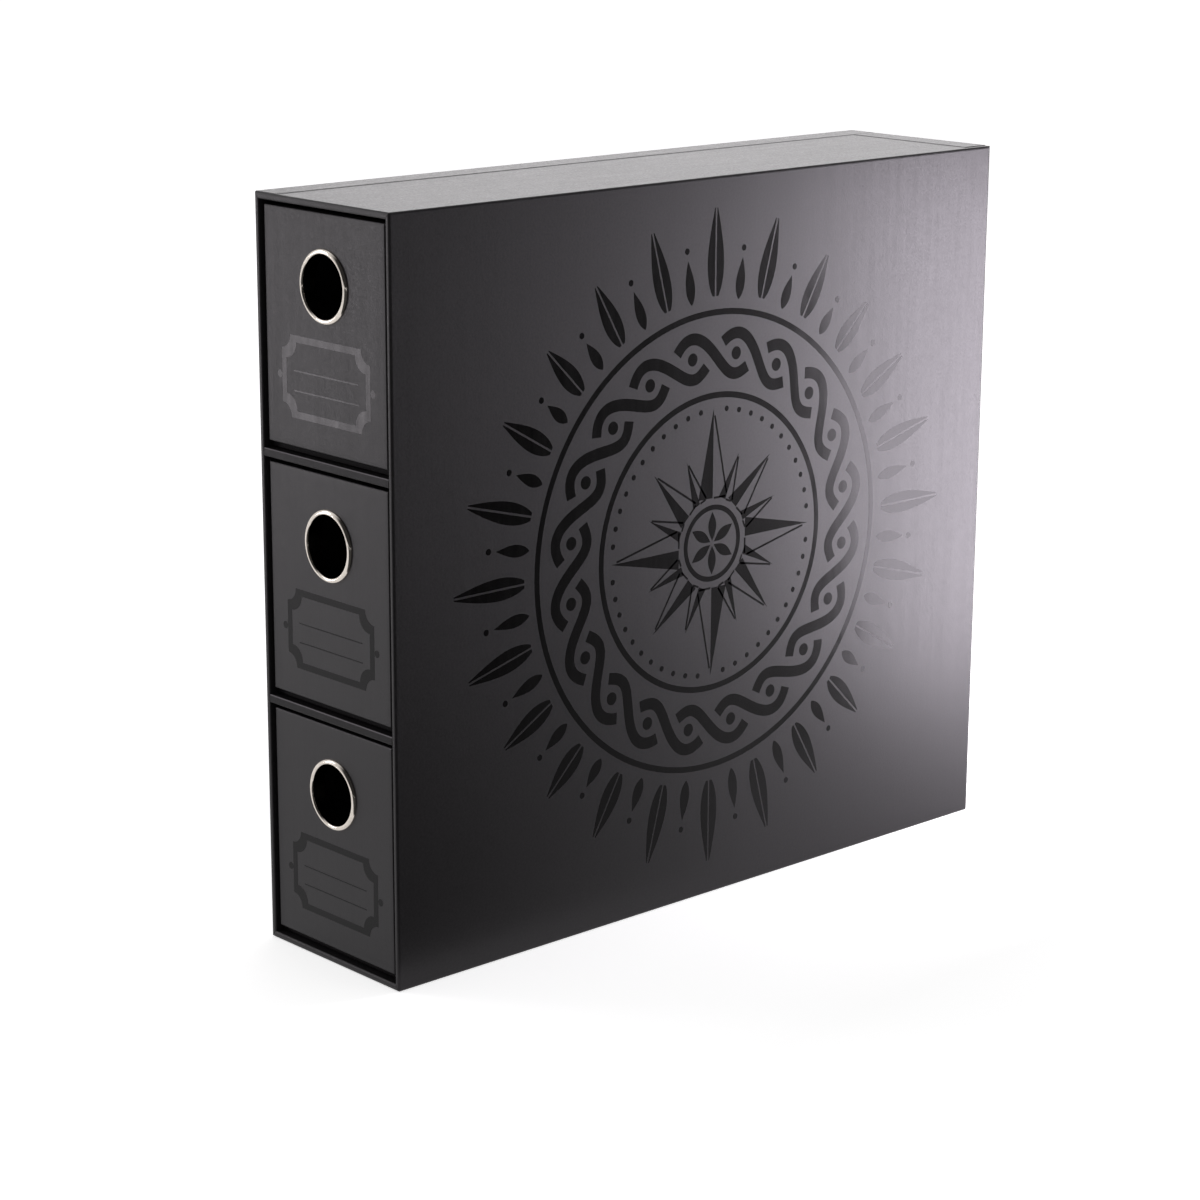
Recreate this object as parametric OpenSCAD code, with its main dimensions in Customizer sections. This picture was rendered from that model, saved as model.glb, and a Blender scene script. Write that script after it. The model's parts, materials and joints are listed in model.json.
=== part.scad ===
// Drawer box for trading cards: a tall narrow case of paper-covered greyboard, parted by two shelves
// into three openings, with one long card drawer in each. A drawer is an open tray behind a wrapped
// front panel, and a clinched metal finger ring goes through both.
// The box stands on its base with +Z up, and the drawers pull out towards -Y.
// The origin is at the middle of the base. All lengths are in millimetres.

/* [Case] */
// Outside width of the case
case_w = 84.4; // [76:0.1:130]
// Outside depth of the case, from the front edges to the back sheet
case_d = 343; // [180:1:420]
// Clear height of each of the three openings
opening_h = 99.7; // [80:0.1:125]
// Thickness of the greyboard in the two side walls
side_board_t = 1.8; // [1.5:0.1:3]
// Thickness of the greyboard in the top and the bottom
deck_board_t = 2.2; // [1.8:0.1:3.5]
// Thickness of the greyboard in the back
back_board_t = 2; // [1.5:0.1:3.5]
// Thickness of the greyboard in the two shelves
shelf_board_t = 3; // [2:0.1:4]
// Clearance at each end of a shelf
shelf_fit = 0.1; // [0.05:0.05:0.4]

/* [Covering paper] */
// Thickness of the covering and lining paper, with its paste
paper_t = 0.25; // [0.15:0.05:0.35]
// Radius over the folded front edges of the case
fold_r = 0.65; // [0.65:0.05:1.1]
// Radius over the folded front edges of the shelves
shelf_fold_r = 0.6; // [0.5:0.1:1.2]
// Radius of the long outer edges of the case
corner_r = 0.5; // [0.4:0.05:0.5]
// Width of paper turned in round the case's edges
turn_in = 15; // [8:1:22]
// Width of the laps of the left sheet and the back sheet on the top
lap_w = 14; // [8:1:22]
// Width over which a lap's edge is pressed down
lap_slope_w = 0.8; // [0.3:0.1:1.5]
// Distance from the case's edges to the edges of the back sheet and the base sheet
sheet_inset = 3; // [1.5:0.5:6]
// Height of the crease at each mitred fold of the case's front edges, measured straight up
crease_h = 0.3; // [0.1:0.05:0.5]
// Depth of that crease
crease_depth = 0.1; // [0.05:0.01:0.12]

/* [Drawer fronts] */
// Thickness of the greyboard in a front panel
front_board_t = 2.5; // [1.8:0.1:4]
// Distance of the front panels behind the case's front edges
front_recess = 1.3; // [0.8:0.1:4]
// Gap between a front panel and the side walls
side_reveal = 1.9; // [1:0.1:4]
// Gap between a front panel or tray and what is above it
top_reveal = 1.9; // [1:0.1:4]
// Height of a front panel's lower edge above its tray's underside
front_lift = 2.8; // [0:0.1:6]
// Radius over the folded edges of a front panel
front_fold_r = 0.5; // [0.4:0.1:1.2]
// Radius of a front panel's four corners
front_corner_r = 0.5; // [0.4:0.1:1.5]

/* [Trays] */
// Thickness of the greyboard in the walls of a tray
tray_board_t = 1.5; // [1:0.1:2.5]
// Thickness of the greyboard in the floor of a tray
floor_board_t = 1.5; // [1:0.1:2.5]
// Clearance between a tray and each side wall
tray_side_gap = 0.7; // [0.4:0.1:1.5]
// Clearance under a tray
running_gap = 0.3; // [0.2:0.1:0.6]
// Clearance between a pushed-in tray and the back
tray_back_gap = 1.5; // [0.5:0.1:6]
// Radius over the folded rims of a tray
rim_r = 0.8; // [0.5:0.1:0.9]
// Width of paper turned in over a tray's rim
rim_turn_in = 12; // [6:1:20]

/* [Finger rings] */
// Radius of a ring's bore
ring_bore_r = 12.7; // [8:0.1:14]
// Distance from the bore out to the crest of the rolled bead
ring_roll_r = 0.8; // [0.6:0.1:1.5]
// Distance from the crest out to the edge of the flange
ring_slope_w = 1.4; // [1.2:0.1:4]
// Height of the crest over the front panel
ring_crest_h = 1.3; // [0.9:0.1:1.4]
// Thickness of the ring's sheet metal
ring_sheet_t = 0.45; // [0.3:0.05:0.55]
// Clearance round the ring's barrel in the boards
ring_fit = 0.15; // [0.05:0.05:0.4]
// Distance of a ring's centre below its front panel's top edge
ring_drop = 28.4; // [20:0.1:45]
// Radius of the flare that clinches the barrel's end
ring_flare_r = 0.9; // [0.7:0.1:1.2]
// Width of the clinched edge on the washer
ring_clinch_w = 0.6; // [0.3:0.1:1.2]
// Width of the washer behind the ring, from its bore to its rim
washer_w = 1.8; // [1.3:0.1:5]
// Thickness of the washer
washer_t = 0.5; // [0.3:0.1:1]

/* [Hidden] */
$fn = 48;
LOWER = 0;
MIDDLE = 1;
UPPER = 2;
LEVELS = 3;
LEFT = -1;      // side of the case in X
RIGHT = 1;
OVER = 1;       // how far a cutting shape runs past what it cuts

COVER_BLACK = [0.15, 0.15, 0.16];
LINING_BLACK = [0.07, 0.07, 0.075];
GREYBOARD = [0.52, 0.5, 0.46];
NICKEL = [0.82, 0.81, 0.78];

// Case: its covered form lies between the base sheet, the back sheet and the laps on the top
side_t = side_board_t + 2 * paper_t;
deck_t = deck_board_t + 2 * paper_t;
back_t = back_board_t + 2 * paper_t;
shelf_t = shelf_board_t + 2 * paper_t;
form_front = -case_d / 2;
form_back = case_d / 2 - paper_t;
form_bottom = paper_t;
inner_w = case_w - 2 * side_t;
inner_back = form_back - back_t;
inner_floor = form_bottom + deck_t;
inner_ceiling = inner_floor + LEVELS * opening_h + (LEVELS - 1) * shelf_t;
form_top = inner_ceiling + deck_t;
case_h = form_top + paper_t;        // to the laps on the top
case_fold_r = min(fold_r, side_t / 2, deck_t / 2);
shelf_nose_r = min(shelf_fold_r, shelf_t / 2);

// Drawers
front_t = front_board_t + 2 * paper_t;
tray_wall_t = tray_board_t + 2 * paper_t;
tray_floor_t = floor_board_t + 2 * paper_t;
front_w = inner_w - 2 * side_reveal;
front_face = form_front + front_recess;
front_rear = front_face + front_t;
tray_w = inner_w - 2 * tray_side_gap;
tray_back = inner_back - tray_back_gap;
tray_h = opening_h - running_gap - top_reveal;
tray_rim_r = min(rim_r, tray_wall_t / 2);

// Finger rings
ring_crest_r = ring_bore_r + ring_roll_r;
ring_dome_r = (ring_slope_w * ring_slope_w + ring_crest_h * ring_crest_h) / (2 * ring_crest_h);
ring_stack = front_t + tray_wall_t;
ring_hole_r = ring_bore_r + ring_sheet_t + ring_fit;
washer_bore_r = ring_bore_r + ring_flare_r;
clinch_h = -ring_stack - washer_t;

// Floor of the opening at a level
function opening_z(level) = inner_floor + level * (opening_h + shelf_t);
// Underside and rim of the tray at a level
function tray_z(level) = opening_z(level) + running_gap;
function rim_z(level) = tray_z(level) + tray_h;
// Height of the finger ring's centre at a level
function ring_z(level) = rim_z(level) - ring_drop;

// ---- outlines ----

// What rounds off one corner of a plate: at is the corner, and into points to the plate's inside
module corner_cut(at, into, r) {
    centre = at + r * into;
    outer = at - OVER * into;
    difference() {
        translate([min(outer.x, centre.x), min(outer.y, centre.y)]) square(r + OVER);
        translate(centre) circle(r);
    }
}

// Rectangle whose corners have the radii given anticlockwise from the one at lo; 0 is sharp
module plate_2d(lo, hi, radii) {
    corners = [lo, [hi.x, lo.y], hi, [lo.x, hi.y]];
    inward = [[1, 1], [-1, 1], [-1, -1], [1, -1]];
    difference() {
        translate(lo) square(hi - lo);
        for (k = [0:3]) if (radii[k] > 0) corner_cut(corners[k], inward[k], radii[k]);
    }
}

// Section of a hollow from floor up through a rim at top, widened where the rim is rounded by r
module mouth_2d(left, right, floor, top, r) {
    difference() {
        union() {
            translate([left, floor]) square([right - left, top + OVER - floor]);
            translate([left - r, top - r]) square([right - left + 2 * r, r + OVER]);
        }
        translate([left - r, top - r]) circle(r);
        translate([right + r, top - r]) circle(r);
    }
}

// ---- solids cut from outlines ----

// A profile in X and Z, run along Y, and a profile in Y and Z, run along X
module along_y(span) rotate([90, 0, 0]) linear_extrude(height = span, center = true) children();
module along_x(span) rotate([90, 0, 90]) linear_extrude(height = span, center = true) children();

// Puts a solid that was drawn face up with its face towards -Y: its Y becomes Z
module face_front() rotate([90, 0, 0]) children();

function size_span(lo, hi) = 2 * (norm(lo) + norm(hi));

// Block with its upper edges rounded by rim, its lower edges as the four radii in base say
// (at -X, +X, -Y, +Y), and its upright edges by the radii in side
module folded_block(lo, hi, rim, base, side) {
    span = size_span(lo, hi);
    intersection() {
        along_y(span) plate_2d([lo.x, lo.z], [hi.x, hi.z], [base[0], base[1], rim, rim]);
        along_x(span) plate_2d([lo.y, lo.z], [hi.y, hi.z], [base[2], base[3], rim, rim]);
        translate([0, 0, lo.z - OVER])
            linear_extrude(height = hi.z - lo.z + 2 * OVER) plate_2d([lo.x, lo.y], [hi.x, hi.y], side);
    }
}

// Hollow that opens upwards through a rounded rim at top
module rimmed_hollow(lo, hi, top, rim) {
    span = size_span(lo, [hi.x, hi.y, top]);
    intersection() {
        along_y(span) mouth_2d(lo.x, hi.x, lo.z, top, rim);
        along_x(span) mouth_2d(lo.y, hi.y, lo.z, top, rim);
    }
}

module box_between(lo, hi) translate(lo) cube(hi - lo);

// What presses down the edge of a lap on the top: the edge is at reach, and the lap lies on the
// side that into says, in the section's first direction
module lap_slope_2d(reach, into)
    polygon([
        [reach, form_top], [reach + into * lap_slope_w, case_h], [reach + into * lap_slope_w, case_h + OVER],
        [reach - into * OVER, case_h + OVER], [reach - into * OVER, form_top]
    ]);

// ---- case ----

// The case without its shelves: grown is 0 for the bare boards and paper_t for the covered case.
// The left sheet and the back sheet fold over the top, so those two top edges are sharp here.
module case_form(grown) {
    d = paper_t - grown;
    small = max(corner_r - d, 0);
    face_front() difference() {
        folded_block(
            [-case_w / 2 + d, form_bottom + d, -form_back + d], [case_w / 2 - d, form_top - d, -form_front - d],
            case_fold_r - d, [small, small, small, 0], [small, small, small, 0]);
        rimmed_hollow(
            [-inner_w / 2 - d, inner_floor - d, -inner_back - d], [inner_w / 2 + d, inner_ceiling + d, 0],
            -form_front - d, case_fold_r - d);
    }
}

// All the paper on the case form, one thickness all over
module case_skin() difference() {
    case_form(paper_t);
    case_form(0);
}

module case_board(lo, hi) color(GREYBOARD) intersection() {
    case_form(0);
    box_between(lo, hi);
}

board_x = inner_w / 2 + paper_t;    // inner faces of the side boards
far = case_w + case_d + case_h;     // past everything

module left_board() case_board([-far, -far, -far], [-board_x, far, far]);

module right_board() case_board([board_x, -far, -far], [far, far, far]);

module top_board() case_board([-board_x, -far, inner_ceiling + paper_t], [board_x, far, far]);

module bottom_board() case_board([-board_x, -far, -far], [board_x, far, inner_floor - paper_t]);

module back_board()
    case_board(
        [-board_x, inner_back + paper_t, inner_floor - paper_t],
        [board_x, far, inner_ceiling + paper_t]);

// Where the lining lies, behind the turned-in paper. It reaches the middle of the boards, so that
// only the edge of the turned-in paper parts the two.
module lining_zone()
    box_between(
        [-(inner_w + side_t) / 2, form_front + turn_in, inner_floor - deck_t / 2],
        [(inner_w + side_t) / 2, inner_back + back_t / 2, inner_ceiling + deck_t / 2]);

// Inside the turned-in paper, the back sheet and the base sheet reach the boards: the stretch of
// the back between two depths, and of the base between two heights
module back_pad(near, out)
    box_between(
        [-case_w / 2 + turn_in, near, form_bottom + turn_in], [case_w / 2 - turn_in, out, form_top - turn_in]);

module base_pad(out, near)
    box_between(
        [-case_w / 2 + turn_in, form_front + turn_in, out], [case_w / 2 - turn_in, form_back - turn_in, near]);

// Mitre across a corner of the front edges, in X and Z, from outside the outer corner to inside the
// inner one. The folds over the wall and over the top or bottom meet at 45 degrees at both ends, and
// the stretch between follows the wall and the board, which differ in thickness.
function mitre(side, outer_z, inner_z) =
    let (
        outer = [side * case_w / 2, outer_z],
        inner = [side * inner_w / 2, inner_z],
        inward = [-side, sign(inner_z - outer_z)]
    )
    [outer - OVER * inward, outer + case_fold_r * inward, inner - case_fold_r * inward, inner + OVER * inward];
function lower_mitre(side) = mitre(side, form_bottom, inner_floor);
function upper_mitre(side) = mitre(side, form_top, inner_ceiling);
function reversed(points) = [for (k = [len(points) - 1:-1:0]) points[k]];

// The left wall's share of the paper, out to the mitres at the front corners. Behind the front
// fold it takes in the top corner too, where the left sheet goes on into its lap.
module left_zone() {
    along_y(2 * far) polygon(concat(lower_mitre(LEFT), reversed(upper_mitre(LEFT))));
    box_between(
        [-case_w / 2 - OVER, form_front + case_fold_r, form_top - paper_t],
        [-case_w / 2 + paper_t, far, form_top + OVER]);
}

// Creases along the mitres of the front edges
module creases()
    for (side = [LEFT, RIGHT], path = [lower_mitre(side), upper_mitre(side)])
        translate([0, form_front, 0])
            along_y(2 * crease_depth)
                polygon(concat(
                    [for (p = path) p + [0, crease_h / 2]],
                    reversed([for (p = path) p - [0, crease_h / 2]])));

// The printed sheet: right wall, top and the front edges, with its turned-in margins
module cover_sheet() color(COVER_BLACK) difference() {
    case_skin();
    left_zone();
    lining_zone();
    back_pad(form_back - back_t / 2, far);
    base_pad(-far, form_bottom + deck_t / 2);
    creases();
}

// The left wall's sheet, which laps over the cover sheet on the top
module left_sheet() color(COVER_BLACK) {
    difference() {
        intersection() {
            case_skin();
            left_zone();
        }
        lining_zone();
        creases();
    }
    translate([0, (form_front + case_fold_r + form_back) / 2, 0])
        along_y(form_back - form_front - case_fold_r) difference() {
            plate_2d([-case_w / 2, form_top - paper_t], [-case_w / 2 + lap_w, case_h], [0, 0, 0, paper_t]);
            translate([-case_w / 2 + paper_t, form_top - lap_w]) square(lap_w);
            lap_slope_2d(-case_w / 2 + lap_w, -1);
        }
}

// The back's sheet, which laps over the cover sheet on the top
module back_sheet() color(COVER_BLACK) {
    back_pad(form_back - paper_t, form_back + paper_t / 2);
    difference() {
        along_x(case_w - 2 * sheet_inset) difference() {
            plate_2d([case_d / 2 - lap_w, sheet_inset], [case_d / 2, case_h], [0, 0, min(corner_r, lap_w), 0]);
            lap_slope_2d(case_d / 2 - lap_w, 1);
        }
        box_between([-far, -far, -far], [far, form_back, form_top]);
        box_between([-far, -far, -far], [-case_w / 2 + lap_w, form_back, far]);
    }
}

// The sheet that the box stands on
module base_sheet() color(COVER_BLACK) {
    base_pad(paper_t / 2, form_bottom + paper_t);
    box_between(
        [-case_w / 2 + sheet_inset, form_front + sheet_inset, 0],
        [case_w / 2 - sheet_inset, form_back - sheet_inset, paper_t]);
}

module case_lining() color(LINING_BLACK) intersection() {
    case_skin();
    lining_zone();
}

// ---- shelves ----

// Section of the shelf under the opening at a level, up to rear; grown as for the case
module shelf_2d(level, grown, rear) {
    d = paper_t - grown;
    r = shelf_nose_r - d;
    top = opening_z(level);
    plate_2d([form_front + d, top - shelf_t + d], [rear, top - d], [r, 0, 0, r]);
}

module shelf_board(level) color(GREYBOARD)
    along_x(inner_w - 2 * shelf_fit) shelf_2d(level, 0, inner_back);

module shelf_wrap(level) color(COVER_BLACK)
    along_x(inner_w - 2 * shelf_fit) difference() {
        shelf_2d(level, paper_t, inner_back);
        shelf_2d(level, 0, inner_back + OVER);
    }

// ---- drawer fronts ----

// The hole for the finger ring through a front panel and the tray behind it
module ring_hole(level)
    translate([0, front_face - OVER, ring_z(level)])
        rotate([-90, 0, 0]) cylinder(h = ring_stack + 2 * OVER, r = ring_hole_r);

module front_form(level, grown) {
    d = paper_t - grown;
    r = front_fold_r - d;
    corner = max(front_corner_r - d, 0);
    face_front()
        folded_block(
            [-front_w / 2 + d, tray_z(level) + front_lift + d, -front_rear + d],
            [front_w / 2 - d, rim_z(level) - d, -front_face - d],
            r, [0, 0, 0, 0], [corner, corner, corner, corner]);
}

module front_board(level) color(GREYBOARD) difference() {
    front_form(level, 0);
    ring_hole(level);
}

module front_wrap(level) color(COVER_BLACK) difference() {
    front_form(level, paper_t);
    front_form(level, 0);
    ring_hole(level);
}

// ---- trays ----

module tray_form(level, grown) {
    d = paper_t - grown;
    wall = tray_wall_t - d;
    difference() {
        folded_block(
            [-tray_w / 2 + d, front_rear + d, tray_z(level) + d], [tray_w / 2 - d, tray_back - d, rim_z(level) - d],
            tray_rim_r - d, [0, 0, 0, 0], [0, 0, 0, 0]);
        rimmed_hollow(
            [-tray_w / 2 + wall, front_rear + wall, tray_z(level) + tray_floor_t - d],
            [tray_w / 2 - wall, tray_back - wall, 0],
            rim_z(level) - d, tray_rim_r - d);
    }
}

module tray_board(level, lo, hi) color(GREYBOARD) difference() {
    intersection() {
        tray_form(level, 0);
        box_between(lo, hi);
    }
    ring_hole(level);
}

tray_board_x = tray_w / 2 - paper_t - tray_board_t;     // inner faces of a tray's side boards
tray_front_inner = front_rear + paper_t + tray_board_t;
tray_rear_inner = tray_back - paper_t - tray_board_t;

// Top face of the floor board at a level
function floor_board_z(level) = tray_z(level) + paper_t + floor_board_t;

module tray_floor_board(level) tray_board(level, [-far, -far, -far], [far, far, floor_board_z(level)]);

module tray_left_board(level)
    tray_board(level, [-far, -far, floor_board_z(level)], [-tray_board_x, far, far]);

module tray_right_board(level)
    tray_board(level, [tray_board_x, -far, floor_board_z(level)], [far, far, far]);

module tray_front_board(level)
    tray_board(level, [-tray_board_x, -far, floor_board_z(level)], [tray_board_x, tray_front_inner, far]);

module tray_rear_board(level)
    tray_board(level, [-tray_board_x, tray_rear_inner, floor_board_z(level)], [tray_board_x, far, far]);

// Where the inner liner lies, below the paper turned in over the rim, out to the middle of the boards
module liner_zone(level)
    box_between(
        [-(tray_w - tray_wall_t) / 2, front_rear + tray_wall_t / 2, tray_z(level) + tray_floor_t / 2],
        [(tray_w - tray_wall_t) / 2, tray_back - tray_wall_t / 2, rim_z(level) - rim_turn_in]);

module tray_wrap(level) color(COVER_BLACK) difference() {
    tray_form(level, paper_t);
    tray_form(level, 0);
    liner_zone(level);
    ring_hole(level);
}

module tray_liner(level) color(LINING_BLACK) difference() {
    intersection() {
        tray_form(level, paper_t);
        liner_zone(level);
    }
    tray_form(level, 0);
    ring_hole(level);
}

// ---- finger rings ----

// A ring's parts are turned about their axis, with 0 at the front panel's face
module turned(level) translate([0, front_face, ring_z(level)]) face_front() rotate_extrude() children();

// Section under the rolled bead, drawn in by inset
module bead_2d(inset) {
    intersection() {
        translate([ring_crest_r, ring_crest_h - ring_dome_r]) circle(ring_dome_r - inset);
        translate([ring_crest_r, 0]) square([ring_slope_w, ring_crest_h]);
    }
    intersection() {
        translate([ring_crest_r, ring_crest_h - ring_roll_r]) circle(ring_roll_r - inset);
        translate([ring_bore_r, ring_crest_h - ring_roll_r]) square([ring_roll_r, ring_roll_r]);
    }
}

// The barrel's end, turned out over the washer
module flare_2d() {
    centre_h = clinch_h - ring_sheet_t + ring_flare_r;
    intersection() {
        translate([washer_bore_r, centre_h]) difference() {
            circle(ring_flare_r);
            circle(ring_flare_r - ring_sheet_t);
        }
        translate([ring_bore_r, centre_h - ring_flare_r]) square([ring_flare_r, ring_flare_r]);
    }
    translate([washer_bore_r, clinch_h - ring_sheet_t]) square([ring_clinch_w, ring_sheet_t]);
    translate([ring_bore_r, centre_h])
        square([ring_sheet_t, ring_crest_h - ring_roll_r - centre_h]);
}

module finger_ring(level) color(NICKEL) turned(level) {
    difference() {
        bead_2d(0);
        bead_2d(ring_sheet_t);
    }
    flare_2d();
}

module ring_washer(level) color(NICKEL)
    turned(level) translate([washer_bore_r, clinch_h]) square([washer_w, washer_t]);

// ---- nodes ----

left_board();
right_board();
top_board();
bottom_board();
back_board();
shelf_board(UPPER);  // upper_shelf_board
shelf_board(MIDDLE);  // lower_shelf_board
shelf_wrap(UPPER);  // upper_shelf_wrap
shelf_wrap(MIDDLE);  // lower_shelf_wrap
cover_sheet();
left_sheet();
back_sheet();
base_sheet();
case_lining();
front_board(UPPER);  // upper_front_board
front_wrap(UPPER);  // upper_front_wrap
tray_front_board(UPPER);  // upper_tray_front_board
tray_left_board(UPPER);  // upper_tray_left_board
tray_right_board(UPPER);  // upper_tray_right_board
tray_rear_board(UPPER);  // upper_tray_rear_board
tray_floor_board(UPPER);  // upper_tray_floor_board
tray_wrap(UPPER);  // upper_tray_wrap
tray_liner(UPPER);  // upper_tray_liner
finger_ring(UPPER);  // upper_finger_ring
ring_washer(UPPER);  // upper_ring_washer
front_board(MIDDLE);  // middle_front_board
front_wrap(MIDDLE);  // middle_front_wrap
tray_front_board(MIDDLE);  // middle_tray_front_board
tray_left_board(MIDDLE);  // middle_tray_left_board
tray_right_board(MIDDLE);  // middle_tray_right_board
tray_rear_board(MIDDLE);  // middle_tray_rear_board
tray_floor_board(MIDDLE);  // middle_tray_floor_board
tray_wrap(MIDDLE);  // middle_tray_wrap
tray_liner(MIDDLE);  // middle_tray_liner
finger_ring(MIDDLE);  // middle_finger_ring
ring_washer(MIDDLE);  // middle_ring_washer
front_board(LOWER);  // lower_front_board
front_wrap(LOWER);  // lower_front_wrap
tray_front_board(LOWER);  // lower_tray_front_board
tray_left_board(LOWER);  // lower_tray_left_board
tray_right_board(LOWER);  // lower_tray_right_board
tray_rear_board(LOWER);  // lower_tray_rear_board
tray_floor_board(LOWER);  // lower_tray_floor_board
tray_wrap(LOWER);  // lower_tray_wrap
tray_liner(LOWER);  // lower_tray_liner
finger_ring(LOWER);  // lower_finger_ring
ring_washer(LOWER);  // lower_ring_washer
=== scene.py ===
"""The drawer box for trading cards: its papers and metal, its prints, the studio and the camera.

Metres throughout, in the model's own frame: the box stands on z = 0, its drawers pull out towards -y,
and its printed side faces +x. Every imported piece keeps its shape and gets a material. The prints are the
only pieces that are made here, and they are drawn in millimetres.
"""
import json
import math

import bpy
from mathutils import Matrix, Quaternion, Vector


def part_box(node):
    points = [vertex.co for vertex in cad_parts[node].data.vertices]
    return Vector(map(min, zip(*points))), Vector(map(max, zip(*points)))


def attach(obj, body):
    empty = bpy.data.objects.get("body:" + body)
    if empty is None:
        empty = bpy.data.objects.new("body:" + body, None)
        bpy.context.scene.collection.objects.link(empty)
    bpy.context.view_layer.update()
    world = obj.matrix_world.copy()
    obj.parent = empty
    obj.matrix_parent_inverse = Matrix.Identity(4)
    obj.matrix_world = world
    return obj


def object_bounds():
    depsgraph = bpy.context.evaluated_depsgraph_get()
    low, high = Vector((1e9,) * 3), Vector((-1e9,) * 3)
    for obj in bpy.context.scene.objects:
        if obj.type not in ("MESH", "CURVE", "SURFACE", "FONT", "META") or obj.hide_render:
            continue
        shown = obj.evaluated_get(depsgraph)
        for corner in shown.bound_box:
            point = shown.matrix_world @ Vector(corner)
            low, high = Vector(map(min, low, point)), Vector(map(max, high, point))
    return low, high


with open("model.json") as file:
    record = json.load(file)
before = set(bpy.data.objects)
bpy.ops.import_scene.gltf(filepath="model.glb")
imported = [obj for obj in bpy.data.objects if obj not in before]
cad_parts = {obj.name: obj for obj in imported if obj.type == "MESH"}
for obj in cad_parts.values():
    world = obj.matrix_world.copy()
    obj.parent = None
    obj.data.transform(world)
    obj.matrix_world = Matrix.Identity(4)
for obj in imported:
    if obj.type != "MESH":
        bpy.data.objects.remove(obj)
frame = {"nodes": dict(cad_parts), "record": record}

CAD_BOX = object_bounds()
LEVELS = ("lower", "middle", "upper")


# ---------------------------------------------------------------- shader nodes

MIX_SOCKETS = {"FLOAT": (2, 0), "RGBA": (6, 2)}     # a Mix node's first input and its output, by kind
NOISE_RANGE = (0.3, 0.7)                            # holds nearly all that a noise gives


class Nodes:
    """Short calls that add nodes to one tree; a value is a number, a colour or another node's output."""

    def __init__(self, tree):
        self.tree = tree

    def feed(self, value, socket):
        if isinstance(value, bpy.types.NodeSocket):
            self.tree.links.new(value, socket)
        else:
            socket.default_value = value

    def node(self, kind, **inputs):
        """A node with its named inputs fed; in a name, _ stands for a space."""
        made = self.tree.nodes.new(kind)
        for name, value in inputs.items():
            self.feed(value, made.inputs[name.replace("_", " ")])
        return made

    def calc(self, kind, a, b=0.0):
        """What a Math node of that kind makes of a and b."""
        made = self.node("ShaderNodeMath")
        made.operation = kind
        self.feed(a, made.inputs[0])
        self.feed(b, made.inputs[1])
        return made.outputs[0]

    def span(self, value, low, high, start=NOISE_RANGE[0], end=NOISE_RANGE[1], smooth=False):
        """Maps start..end of value to low..high."""
        made = self.node(
            "ShaderNodeMapRange", Value=value, From_Min=start, From_Max=end, To_Min=low, To_Max=high)
        made.interpolation_type = "SMOOTHSTEP" if smooth else "LINEAR"
        return made.outputs[0]

    def mix(self, kind, factor, a, b):
        """a where factor is 0 and b where it is 1, and on past b where it is more."""
        made = self.node("ShaderNodeMix")
        made.data_type = kind
        made.clamp_factor = False
        first, result = MIX_SOCKETS[kind]
        for value, place in ((factor, 0), (a, first), (b, first + 1)):
            self.feed(value, made.inputs[place])
        return made.outputs[result]

    def axes(self, vector):
        return self.node("ShaderNodeSeparateXYZ", Vector=vector).outputs

    def normal(self):
        """The x, y and z of the surface's own direction."""
        return self.axes(self.node("ShaderNodeNewGeometry").outputs["Normal"])

    def ray(self, *kinds):
        """1 for rays of any of these kinds, else 0."""
        path = self.node("ShaderNodeLightPath").outputs
        either = path[kinds[0]]
        for kind in kinds[1:]:
            either = self.calc("MAXIMUM", either, path[kind])
        return either


class Shader(Nodes):
    """A Principled material; what is the same all over is set on the shader's own sockets."""

    def __init__(self, name, **constants):
        self.material = bpy.data.materials.new(name)
        self.material.use_nodes = True
        super().__init__(self.material.node_tree)
        self.bsdf = self.tree.nodes["Principled BSDF"]
        self.place = self.node("ShaderNodeTexCoord").outputs["Object"]
        self.relief = None
        for socket, value in constants.items():
            self.bsdf.inputs[socket.replace("_", " ")].default_value = value

    def link(self, value, socket):
        self.tree.links.new(value, self.bsdf.inputs[socket])

    def noise(self, scale, detail=3.0, rough=0.5, stretch=None, seed=0.0):
        """Noise from 0 to 1; stretch divides its fineness along each axis, and seed moves it."""
        where = self.place
        if stretch or seed:
            fineness = [1 / s for s in stretch or (1, 1, 1)]
            where = self.node(
                "ShaderNodeMapping", Vector=where, Location=(seed, seed, seed), Scale=fineness).outputs[0]
        return self.node(
            "ShaderNodeTexNoise", Vector=where, Scale=scale, Detail=detail, Roughness=rough).outputs[0]

    def swing(self, noise, reach, middle=0.0):
        """A noise as a swing of reach to each side of middle."""
        return self.span(noise, middle - reach, middle + reach)

    def colour(self, factor, dark, light):
        self.link(self.mix("RGBA", factor, (*dark, 1), (*light, 1)), "Base Color")

    def bump(self, height, depth, strength=1.0):
        """Adds relief of that depth in metres over the height's 0 to 1."""
        made = self.node("ShaderNodeBump", Strength=strength, Distance=depth, Height=height)
        if self.relief is not None:
            self.tree.links.new(self.relief, made.inputs["Normal"])
        self.relief = made.outputs[0]
        self.link(self.relief, "Normal")

    def glow(self, to_camera, to_reflections):
        """White light of its own, so that a backdrop reads at these levels."""
        seen = self.calc("MULTIPLY", self.ray("Is Camera Ray"), to_camera)
        reflected = self.calc("MULTIPLY", self.ray("Is Glossy Ray", "Is Transmission Ray"), to_reflections)
        self.bsdf.inputs["Emission Color"].default_value = (1, 1, 1, 1)
        self.link(self.calc("ADD", seen, reflected), "Emission Strength")


# ---------------------------------------------------------------- papers, board and metal

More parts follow.
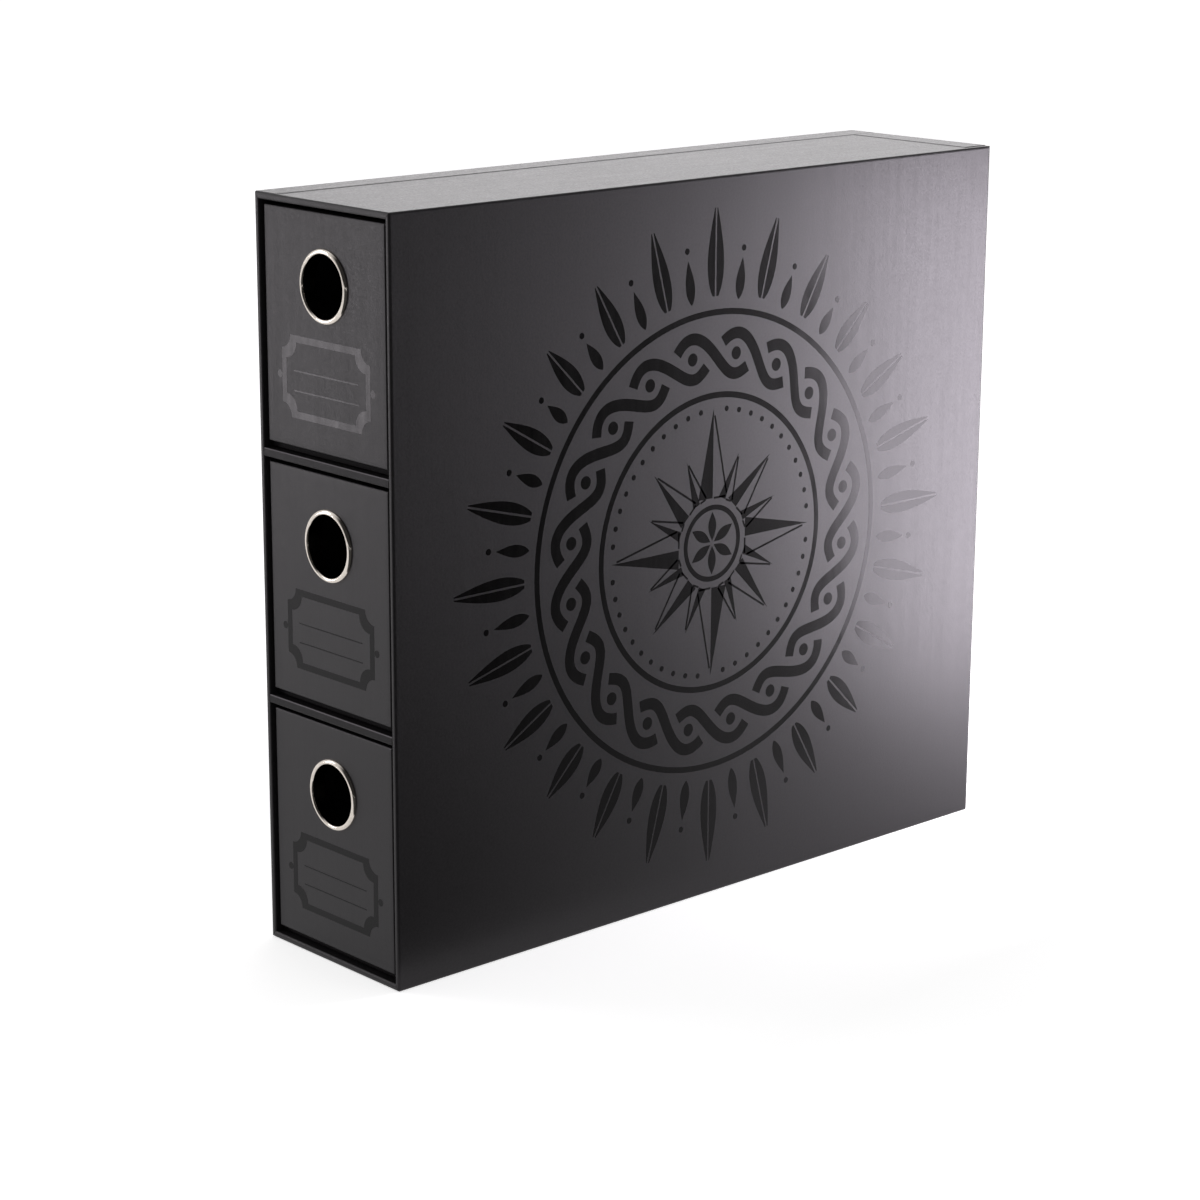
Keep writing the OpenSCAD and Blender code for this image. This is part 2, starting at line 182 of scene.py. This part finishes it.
PLUM = (1.0, 0.955, 1.0, 1.0)                   # faint cast of the black paper's shine
PAPER_DARK = (0.0062, 0.0057, 0.0061)
PAPER_LIGHT = (0.0132, 0.0121, 0.0131)
PAPER_GLOSS = 0.3
PAPER_ROUGH = 0.41

TOOTH = {"scale": 950, "detail": 4, "rough": 0.65}
MOTTLE = {"scale": 230, "detail": 3, "rough": 0.55, "seed": 1.0}
STREAKS = {"scale": 420, "detail": 3, "rough": 0.6}
STREAK_LENGTH = 30                              # in its own widths
MOTTLE_ROUGH, TOOTH_ROUGH, STREAK_ROUGH = 0.012, 0.06, 0.017    # how far each moves the roughness
MOTTLE_RELIEF = {"depth": 0.00001, "strength": 0.5}
TOOTH_RELIEF = {"depth": 0.00006, "strength": 0.5}
STREAK_SHARE = 0.3                              # of the streaks in the tooth's relief

LEVEL_FACE = 0.7                                # a normal's z above which a face counts as level
FOLD_RISE = (0.25, 0.6)                         # a normal's z over which the painted highlight on an upper fold rises to its palest
FOLD_END = (0.9, 0.98)                          # and over which it is plain paper again
FRONT_FACE = -0.7                               # a normal's y below which a face is the frame's front
FRONT_FLATTER = 0.2                             # how much less relief the front has


def grain(shader):
    """Fine streaks of the paper's making: up the walls and along the top."""
    up = shader.noise(**STREAKS, stretch=(1, 1, STREAK_LENGTH))
    along = shader.noise(**STREAKS, stretch=(1, STREAK_LENGTH, 1), seed=3.0)
    level = shader.calc("GREATER_THAN", shader.calc("ABSOLUTE", shader.normal()[2]), LEVEL_FACE)
    return shader.mix("FLOAT", level, up, along)


def upper_folds(shader):
    """1 on the rounds between an upright face and the level one above it, 0 on those two faces."""
    up = shader.normal()[2]
    past_upright = shader.span(up, 0.0, 1.0, *FOLD_RISE)
    short_of_level = shader.span(up, 1.0, 0.0, *FOLD_END)
    return shader.calc("MULTIPLY", past_upright, short_of_level)


def crown(shader, node, reach, rise, bead=False):
    """Relief of paper pulled round a board: within reach of the node's edges it falls, by rise in all.

    With bead, the front face is a little flatter and falls again past reach, so that a frame twice as wide
    as reach is rounded right across.
    """
    low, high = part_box(node)
    shares = shader.axes(shader.node("ShaderNodeTexCoord").outputs["Generated"])
    inward = []
    for share, length in zip(shares, high - low):
        along = shader.calc("MULTIPLY", share, length)
        inward.append(shader.calc("MINIMUM", along, shader.calc("SUBTRACT", length, along)))
    x, y, z = inward

    # On a face, the smallest of the three is nothing and the middle one leads to the nearest edge.
    smaller, larger = shader.calc("MINIMUM", x, y), shader.calc("MAXIMUM", x, y)
    edge = shader.calc("MAXIMUM", smaller, shader.calc("MINIMUM", larger, z))

    limit = depth = 1.0
    if bead:
        front = shader.calc("LESS_THAN", shader.normal()[1], FRONT_FACE)
        limit = shader.calc("ADD", front, 1.0)
        depth = shader.calc("SUBTRACT", 1.0, shader.calc("MULTIPLY", front, FRONT_FLATTER))
    way = shader.calc("MINIMUM", shader.calc("DIVIDE", edge, reach), limit)
    off_crest = shader.calc("SUBTRACT", way, 1.0)
    dome = shader.calc("SUBTRACT", 1.0, shader.calc("MULTIPLY", off_crest, off_crest))
    shader.bump(shader.calc("MULTIPLY", dome, depth), rise)


def covering_paper(name, gloss=PAPER_GLOSS, rough=PAPER_ROUGH, fold_highlight=0.0, crowned=None):
    """Black paper with a fine tooth.

    The folds along upper edges that face up a little are lightened by so many times the step from
    PAPER_DARK to PAPER_LIGHT, a painted highlight; crowned gives crown what it needs.
    """
    shader = Shader(name, Specular_IOR_Level=gloss, Specular_Tint=PLUM)
    tooth = shader.noise(**TOOTH)
    mottle = shader.noise(**MOTTLE)
    streak = grain(shader)

    tone = shader.span(tooth, 0.0, 1.0)
    # Painted highlight: folds that face up along upper edges are made paler, as where they catch the light.
    if fold_highlight:
        tone = shader.calc("ADD", tone, shader.calc("MULTIPLY", upper_folds(shader), fold_highlight))
    shader.colour(tone, PAPER_DARK, PAPER_LIGHT)

    cloudy = shader.calc("ADD", shader.swing(mottle, MOTTLE_ROUGH, rough), shader.swing(tooth, TOOTH_ROUGH))
    shader.link(shader.calc("ADD", cloudy, shader.swing(streak, STREAK_ROUGH)), "Roughness")

    if crowned:
        crown(shader, **crowned)
    shader.bump(mottle, **MOTTLE_RELIEF)
    shader.bump(shader.calc("ADD", shader.calc("MULTIPLY", streak, STREAK_SHARE), tooth), **TOOTH_RELIEF)
    return shader.material


def lining_paper():
    """Dull black paper of short fibres."""
    shader = Shader("lining_paper", Specular_IOR_Level=0.35)
    fibre = shader.noise(scale=1300, detail=5, rough=0.7, stretch=(1, 3, 1))
    cloud = shader.noise(scale=70, seed=4.0)
    shader.colour(shader.span(fibre, 0.0, 1.0), dark=(0.010, 0.010, 0.011), light=(0.019, 0.019, 0.020))
    shader.link(shader.span(cloud, 0.62, 0.78), "Roughness")
    shader.bump(fibre, depth=0.00006, strength=0.6)
    return shader.material


def greyboard():
    """Raw board: grey fibres in thin layers."""
    shader = Shader("greyboard", Specular_IOR_Level=0.3)
    fibre = shader.noise(scale=900, detail=6, rough=0.75)
    layer = shader.noise(scale=2500, detail=2, stretch=(1, 9, 1), seed=2.0)
    layered = shader.calc("MULTIPLY", fibre, shader.calc("ADD", layer, 0.5))
    tone = shader.span(layered, 0.0, 1.0, start=0.3, end=0.75)
    shader.colour(tone, dark=(0.16, 0.15, 0.13), light=(0.34, 0.32, 0.28))
    shader.link(shader.span(fibre, 0.8, 0.95), "Roughness")
    shader.bump(fibre, depth=0.00012, strength=0.8)
    return shader.material


def nickel():
    """Polished plate with faint clouds and fine scuffs."""
    shader = Shader("nickel", Metallic=1.0)
    cloud = shader.noise(scale=600, seed=5.0)
    scuff = shader.noise(scale=5200, detail=4, rough=0.7, seed=6.0)
    shader.colour(shader.span(cloud, 0.0, 1.0), dark=(0.60, 0.545, 0.49), light=(0.69, 0.635, 0.58))
    shader.link(
        shader.calc("ADD", shader.span(cloud, 0.07, 0.12), shader.span(scuff, 0.0, 0.03)), "Roughness")
    shader.bump(scuff, depth=0.000002, strength=0.35)
    return shader.material


def gloss_print():
    """Black varnish on the paper: smoother, with the paper's mottle and streaks still in it."""
    shader = Shader("gloss_print", Specular_IOR_Level=0.14, Specular_Tint=PLUM)
    streak = grain(shader)
    mottle = shader.noise(**MOTTLE)
    shader.colour(shader.span(streak, 0.0, 1.0), dark=(0.001, 0.0009, 0.0009), light=(0.002, 0.0018, 0.0018))
    shader.link(
        shader.calc("ADD", shader.span(mottle, 0.155, 0.185), shader.span(streak, -0.02, 0.03)), "Roughness")
    shader.bump(mottle, **MOTTLE_RELIEF)
    shader.bump(streak, depth=0.000012, strength=0.4)
    return shader.material


SLOT_FINISHES = {
    "cover_paper": covering_paper("covering_paper"),
    "lining_paper": lining_paper(),
    "greyboard": greyboard(),
    "nickel": nickel()}

# Papers of their own, for the nodes whose names end so. The shelves' edges and the trays are duller, and the
# fronts and shelves carry a painted highlight on their upper folds.
WRAP_FINISHES = {
    "cover_sheet": covering_paper(
        "sheet_paper", crowned={"node": "cover_sheet", "reach": 0.00125, "rise": 0.00025, "bead": True}),
    "front_wrap": covering_paper(
        "front_paper", fold_highlight=6.0, crowned={"node": "upper_front_wrap", "reach": 0.0025, "rise": 0.0001}),
    "shelf_wrap": covering_paper("shelf_paper", gloss=0.13, fold_highlight=22.0),
    "tray_wrap": covering_paper("tray_paper", gloss=0.1, rough=0.7)}

GLOSS = gloss_print()


def finish_of(part):
    """The node's own paper, or else the finish of its slot."""
    for ending, paper in WRAP_FINISHES.items():
        if part["node"].endswith(ending):
            return paper
    return SLOT_FINISHES[part["material_slot"]]


for part in frame["record"]["subparts"]:
    mesh = frame["nodes"][part["node"]].data
    mesh.materials.clear()
    mesh.materials.append(finish_of(part))


# ---------------------------------------------------------------- prints

PER_METRE = 1000        # the prints are drawn in millimetres
VARNISH = 0.00003       # how far a print stands proud of its paper
SUNK = 0.00001          # and how far it reaches into it
RING_STEPS = 120
DISC_STEPS = 20


def polar(centre, radius, degrees):
    a = math.radians(degrees)
    return centre[0] + radius * math.cos(a), centre[1] + radius * math.sin(a)


def lerp(a, b, t):
    return a[0] + (b[0] - a[0]) * t, a[1] + (b[1] - a[1]) * t


class Print:
    """Flat closed shapes of varnish on one face of the box, at points across and up from origin."""

    def __init__(self, origin, across, up, out):
        self.origin, self.across, self.up, self.out = (Vector(v) for v in (origin, across, up, out))
        self.verts, self.faces = [], []

    def point(self, x, y, lift):
        return self.origin + self.across * (x / PER_METRE) + self.up * (y / PER_METRE) + self.out * lift

    def shape(self, left, right, closed=False):
        """A band between two rows of points, which run side by side."""
        base, count = len(self.verts), len(left)
        self.verts += [
            self.point(x, y, lift) for lift in (-SUNK, VARNISH) for row in (left, right) for x, y in row]
        lower_l, lower_r, upper_l, upper_r = (base + k * count for k in range(4))
        for i in range(count if closed else count - 1):
            j = (i + 1) % count
            self.faces += [
                (upper_l + i, upper_l + j, upper_r + j, upper_r + i),
                (lower_l + i, lower_r + i, lower_r + j, lower_l + j),
                (lower_l + i, lower_l + j, upper_l + j, upper_l + i),
                (lower_r + j, lower_r + i, upper_r + i, upper_r + j)]
        if not closed:
            last = count - 1
            self.faces += [
                (lower_l, upper_l, upper_r, lower_r),
                (lower_l + last, lower_r + last, upper_r + last, upper_l + last)]

    def stroke(self, points, width, closed=False):
        """A line of one width along points."""
        left, right = [], []
        count = len(points)
        for i, (x, y) in enumerate(points):
            before = points[(i - 1) % count if closed else max(i - 1, 0)]
            after = points[(i + 1) % count if closed else min(i + 1, count - 1)]
            dx, dy = after[0] - before[0], after[1] - before[1]
            size, half = math.hypot(dx, dy), width / 2
            left.append((x - dy / size * half, y + dx / size * half))
            right.append((x + dy / size * half, y - dx / size * half))
        self.shape(left, right, closed)

    def ring(self, centre, radius, width):
        angles = [360 * k / RING_STEPS for k in range(RING_STEPS)]
        self.stroke([polar(centre, radius, a) for a in angles], width, closed=True)

    def disc(self, centre, radius):
        """A round dot, as a band between its upper and its lower half."""
        half = [180 * k / DISC_STEPS for k in range(DISC_STEPS + 1)]
        blunt = 0.02 * radius       # keeps the two halves apart at their ends
        self.shape(
            [(x, y + blunt) for x, y in (polar(centre, radius, a) for a in half)],
            [(x, y - blunt) for x, y in (polar(centre, radius, -a) for a in half)])

    def build(self, name, body):
        mesh = bpy.data.meshes.new(name)
        mesh.from_pydata([tuple(v) for v in self.verts], [], self.faces)
        mesh.validate()
        mesh.materials.append(GLOSS)
        piece = bpy.data.objects.new(name, mesh)
        bpy.context.scene.collection.objects.link(piece)
        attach(piece, body)


# The side's ornament: radii and widths in millimetres, from the hub outwards.
CENTRE = (172.0, 157.0)         # from the lower front corner of the side
HUB_RING, HUB_WIDTH = 15.5, 2.2
PETALS, PETAL_WIDTH = 6, 4.6
PETAL_START, PETAL_END = 1.2, 13.6
STAR_ROOT = 19.5
STAR_BLUNT = 0.004              # share of its side by which a filled half stops short of the tip
STAR_LINE = 0.9
ROOT_LINE, SIDE_LINE = (0.12, 0.92), (0.03, 0.92)   # shares of an open half's edges that are drawn
STAR_POINTS = (                 # how many, turned by how much, the tip's radius, half the root's width
    (8, 22.5, 40, 4.2),
    (4, 45, 48, 6.4),
    (4, 0, 58, 8.4))
DOT_PLACES, DOT_GAP = 48, 12    # one place in 12 is left to a long point of the star
DOT_RING, DOT_SIZE = 57.5, 1.15
INNER_RING, OUTER_RING, RING_WIDTH = 63.5, 98.5, 2.6
STRAND_SWING, STRAND_WIDTH, STRAND_LOBES = 8.6, 5.0, 10
STRAND_STEPS = 32
STRAND_GAP = 3.4                # degrees that a strand stops short of the one it passes under
EYE_SIZE = 2.7
LEAVES, LEAF_STEPS = 24, 24
LEAF_ROOT = OUTER_RING + 5.0
LEAF_REACH, LEAF_MORE = 30, 12  # a slanting leaf's length, and how much longer upright and level ones are
LEAF_WIDTH, LEAF_WIDEST = 9.4, 0.36
SHORT_SHARE = 0.45              # of a leaf, for the small one beside it
SHORT_WIDTH, SHORT_WIDEST = 5.2, 0.4
TIP_DOT, TIP_DOT_AHEAD = 1.3, 4.0
SEAM = 0.45                     # half the bare line between the two halves of a leaf
THINNEST = 0.06                 # width of a blade's tip
LEAST_HALF = 0.1                # what is left of half a leaf where it ends


def lancet(width, widest=0.5):
    """Width of a long leaf along its way, 0 to 1: pointed at both ends, and widest at that place."""
    power = math.log(0.5) / math.log(widest)
    return lambda way: max(THINNEST, width * math.sin(math.pi * way ** power))


def side_print():
    """A compass star inside a woven ring, with leaves round it like rays."""
    _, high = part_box("cover_sheet")
    art = Print(origin=(high.x, CAD_BOX[0].y, 0), across=(0, 1, 0), up=(0, 0, 1), out=(1, 0, 0))

    art.ring(CENTRE, HUB_RING, HUB_WIDTH)
    for k in range(PETALS):
        leaf(art, 360 / PETALS * (k + 0.5), PETAL_START, PETAL_END, lancet(PETAL_WIDTH))

    for count, turn, tip, half_width in STAR_POINTS:
        for k in range(count):
            star_point(art, turn + 360 / count * k, tip, half_width)

    for k in range(DOT_PLACES):
        if k % DOT_GAP:
            art.disc(polar(CENTRE, DOT_RING, 360 / DOT_PLACES * k), DOT_SIZE)
    art.ring(CENTRE, INNER_RING, RING_WIDTH)
    weave(art, (INNER_RING + OUTER_RING) / 2)
    art.ring(CENTRE, OUTER_RING, RING_WIDTH)

    for k in range(LEAVES):
        around, between = 360 / LEAVES * k, 360 / LEAVES * (k + 0.5)
        reach = LEAF_REACH + LEAF_MORE * math.cos(math.radians(2 * around)) ** 2
        short_tip = LEAF_ROOT + SHORT_SHARE * reach
        leaf(art, around, LEAF_ROOT, LEAF_ROOT + reach, lancet(LEAF_WIDTH, LEAF_WIDEST), SEAM)
        leaf(art, between, LEAF_ROOT, short_tip, lancet(SHORT_WIDTH, SHORT_WIDEST))
        art.disc(polar(CENTRE, short_tip + TIP_DOT_AHEAD, between), TIP_DOT)
    art.build("side_print", "case")


def leaf(art, around, start, end, profile, seam=0.0):
    """A blade along a radius; with a seam, it is two halves with a bare line between them."""
    ways = [k / LEAF_STEPS for k in range(LEAF_STEPS + 1)]
    ahead, aside = polar((0, 0), 1, around), polar((0, 0), 1, around + 90)

    def edge(way, offset):
        radius = start + (end - start) * way
        return [c + a * radius + s * offset for c, a, s in zip(CENTRE, ahead, aside)]

    if not seam:
        art.shape([edge(w, profile(w) / 2) for w in ways], [edge(w, -profile(w) / 2) for w in ways])
        return
    ways = [w for w in ways if profile(w) / 2 > seam + LEAST_HALF]
    for side in (1, -1):
        rows = [[edge(w, side * profile(w) / 2) for w in ways], [edge(w, side * seam) for w in ways]]
        art.shape(*rows[::side])


def star_point(art, around, tip, half_width):
    """A long point with a filled half and an outlined half."""
    base, end = polar(CENTRE, STAR_ROOT, around), polar(CENTRE, tip, around)
    aside = polar((0, 0), half_width, around + 90)
    left = (base[0] + aside[0], base[1] + aside[1])
    right = (base[0] - aside[0], base[1] - aside[1])
    art.shape([left, lerp(end, left, STAR_BLUNT)], [base, end])
    art.stroke([lerp(right, base, t) for t in ROOT_LINE], STAR_LINE)
    art.stroke([lerp(right, end, t) for t in SIDE_LINE], STAR_LINE)


def weave(art, radius):
    """Two strands that pass over and under each other round a circle, with a dot in each eye."""
    lobe = 180 / STRAND_LOBES
    for strand, side in ((0, -1), (1, 1)):
        for k in range(STRAND_LOBES):
            first = (2 * k + strand) * lobe + STRAND_GAP
            last = (2 * k + 2 + strand) * lobe - STRAND_GAP
            points = []
            for i in range(STRAND_STEPS + 1):
                around = first + (last - first) * i / STRAND_STEPS
                wave = side * math.sin(math.radians(around * STRAND_LOBES))
                points.append(polar(CENTRE, radius + STRAND_SWING * wave, around))
            art.stroke(points, STRAND_WIDTH)
    for k in range(2 * STRAND_LOBES):
        art.disc(polar(CENTRE, radius, (k + 0.5) * lobe), EYE_SIZE)


# The label frame, in millimetres.
LABEL_WIDTH, LABEL_HEIGHT = 56.0, 33.2      # outside
LABEL_TOP = 49.8                            # its upper edge, below the panel's upper edge
LABEL_BAND = 2.8
LABEL_SCOOP = 5.6                           # radius of the scooped corners
SCOOP_GROWTH = 0.35                         # how much that radius grows for each millimetre of inset
SCOOP_STEPS = 12
RULES = (2.4, -5.6)                         # heights of the two ruled lines, from the label's middle
RULE_HALF, RULE_WIDTH = 20.5, 0.55
STUD_SIZE, STUD_AHEAD = 1.5, 1.6            # the dot at each end


def label_outline(inset):
    """A plaque with scooped corners, drawn in by inset; always the same number of points."""
    half_w, half_h = LABEL_WIDTH / 2 - inset, LABEL_HEIGHT / 2 - inset
    points = []
    for side, above, first in ((1, 1, 270), (-1, 1, 0), (-1, -1, 90), (1, -1, 180)):
        corner = (side * half_w, above * half_h)
        for i in range(SCOOP_STEPS + 1):
            points.append(polar(corner, LABEL_SCOOP + SCOOP_GROWTH * inset, first - 90 * i / SCOOP_STEPS))
    return points


def label_print(level):
    """A plain label frame with two ruled lines on a drawer's front."""
    low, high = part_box(f"{level}_front_wrap")
    middle = high.z - (LABEL_TOP + LABEL_HEIGHT / 2) / PER_METRE
    art = Print(origin=(0, low.y, middle), across=(1, 0, 0), up=(0, 0, 1), out=(0, -1, 0))
    art.shape(label_outline(0), label_outline(LABEL_BAND), closed=True)
    for height in RULES:
        art.stroke([(-RULE_HALF, height), (RULE_HALF, height)], RULE_WIDTH)
    for side in (-1, 1):
        art.disc((side * (LABEL_WIDTH / 2 + STUD_AHEAD), 0), STUD_SIZE)
    art.build(f"{level}_label_print", f"{level}_drawer")


side_print()
for level in LEVELS:
    label_print(level)


# ---------------------------------------------------------------- studio

FLOOR_HALF = 14.0
FLAG_AROUND = ((0.06, -4), (4, -4), (4, 3.9), (0.06, 0.02))
FLAG_HEIGHT = 0.002
FLAG_LEVELS = (0.8, 0.05)           # in reflections, at the slanted edge and further in
FLAG_FADE = (0.04, 0.23)            # x - y where it starts to darken and where it is dark
WINDOW_SIDE = (-0.94, 0.34, 0)      # the room is pale on this side and dark on the other
DARK_LEVEL = 0.03                   # of the dark side in reflections
ROOM_FADE = (-0.2, 0.4)             # how much a direction has of WINDOW_SIDE, where dark turns to pale
ROOM_LIGHT = 0.55                   # level of the room as it lights the object


def matte(name, level):
    """A dull material of one grey level."""
    return Shader(name, Roughness=0.9, Specular_IOR_Level=0.1, Base_Color=(level, level, level, 1))


def floor_material():
    """Pale, with some light of its own, so that it reads as white and still takes a shadow."""
    shader = matte("pale_floor", 0.82)
    shader.glow(to_camera=0.6, to_reflections=0.5)
    return shader.material


def flag_material():
    """Dark in reflections, and paler towards its slanted edge, so that no edge shows in them."""
    shader = matte("flag_dark", 0.01)
    x, y = shader.axes(shader.place)[:2]
    level = shader.span(shader.calc("SUBTRACT", x, y), *FLAG_LEVELS, *FLAG_FADE)
    shader.glow(to_camera=0.0, to_reflections=level)
    return shader.material


def quad(name, corners, height, material):
    """A level sheet that is part of the studio and not of the object."""
    mesh = bpy.data.meshes.new(name)
    mesh.from_pydata([(x, y, height) for x, y in corners], [], [(0, 1, 2, 3)])
    mesh.materials.append(material)
    made = bpy.data.objects.new(name, mesh)
    bpy.context.scene.collection.objects.link(made)
    return made


def softbox(name, place, target, size, radiance, colour):
    """A rectangular lamp that shines from place towards target; radiance is its own brightness."""
    lamp = bpy.data.lights.new(name, "AREA")
    lamp.color = colour
    lamp.shape = "RECTANGLE"
    lamp.size, lamp.size_y = size
    lamp.energy = radiance * size[0] * size[1] * math.pi
    made = bpy.data.objects.new(name, lamp)
    made.location = place
    made.rotation_mode = "QUATERNION"
    made.rotation_quaternion = (Vector(target) - Vector(place)).to_track_quat("-Z", "Y")
    made.visible_camera = False
    bpy.context.scene.collection.objects.link(made)


def studio_world():
    """White to the camera, plain light on the object, and in reflections pale only on the window's side."""
    world = bpy.data.worlds.new("studio")
    bpy.context.scene.world = world
    world.use_nodes = True
    sky = Nodes(world.node_tree)
    towards = sky.node("ShaderNodeVectorMath")
    towards.operation = "DOT_PRODUCT"
    sky.feed(sky.node("ShaderNodeTexCoord").outputs["Generated"], towards.inputs[0])
    sky.feed(WINDOW_SIDE, towards.inputs[1])
    room = sky.span(towards.outputs["Value"], DARK_LEVEL, 1.0, *ROOM_FADE, smooth=True)
    seen_level = sky.calc("MAXIMUM", sky.ray("Is Camera Ray"), room)
    seen = sky.ray("Is Camera Ray", "Is Glossy Ray", "Is Transmission Ray")
    background = sky.tree.nodes["Background"]
    background.inputs["Color"].default_value = (1, 1, 1, 1)
    sky.feed(sky.span(seen, ROOM_LIGHT, seen_level, start=0.0, end=1.0), background.inputs["Strength"])


floor_around = [(x * FLOOR_HALF, y * FLOOR_HALF) for x, y in ((-1, -1), (1, -1), (1, 1), (-1, 1))]
quad("floor", floor_around, 0.0, floor_material())

# A flag on the floor beside the printed side keeps the floor out of that side's reflections.
flag = quad("flag", FLAG_AROUND, FLAG_HEIGHT, flag_material())
flag.visible_camera = flag.visible_diffuse = flag.visible_shadow = flag.visible_transmission = False

# The right lamp makes the highlight in the printed side and the left one that in the drawers' fronts. The
# high one adds glints to the fronts' rings and folds, and the rear one lights the top.
softbox(
    "softbox_right", place=(0.184, 0.369, 0.153), target=(0.0, 0.361, 0.181), size=(0.263, 0.286),
    radiance=15.2, colour=(1.0, 0.95, 1.03))
softbox(
    "softbox_left", place=(-0.755, -0.746, 0.153), target=(0.0, -0.17, 0.28), size=(0.105, 0.3),
    radiance=7.6, colour=(1.0, 0.955, 0.99))
softbox(
    "softbox_high", place=(-0.755, -0.746, 0.56), target=(0.0, -0.17, 0.28), size=(0.3, 0.42),
    radiance=2.6, colour=(1.0, 0.97, 0.98))
softbox(
    "softbox_rear", place=(-1.25, 1.7, 0.9), target=(0.0, 0.0, 0.3), size=(1.8, 0.9),
    radiance=1.75, colour=(1.0, 0.97, 0.99))

studio_world()


# ---------------------------------------------------------------- camera

CAMERA_AT = Vector((0.9443, -0.8897, 0.4661))       # solved from the photo's view of the case's corners
CAMERA_AIM = Vector((-0.0066, -0.0189, 0.1259))
CAMERA_ROLL = math.radians(0.25)

camera_data = bpy.data.cameras.new("camera")
camera_data.sensor_width = 36.0
camera_data.lens = 92.5
camera_data.clip_end = 60.0
camera = bpy.data.objects.new("camera", camera_data)
bpy.context.scene.collection.objects.link(camera)
camera.location = CAMERA_AT
camera.rotation_mode = "QUATERNION"
camera.rotation_quaternion = (
    (CAMERA_AIM - CAMERA_AT).to_track_quat("-Z", "Y") @ Quaternion((0, 0, 1), CAMERA_ROLL))
bpy.context.scene.camera = camera
bpy.context.scene.view_settings.view_transform = "Standard"
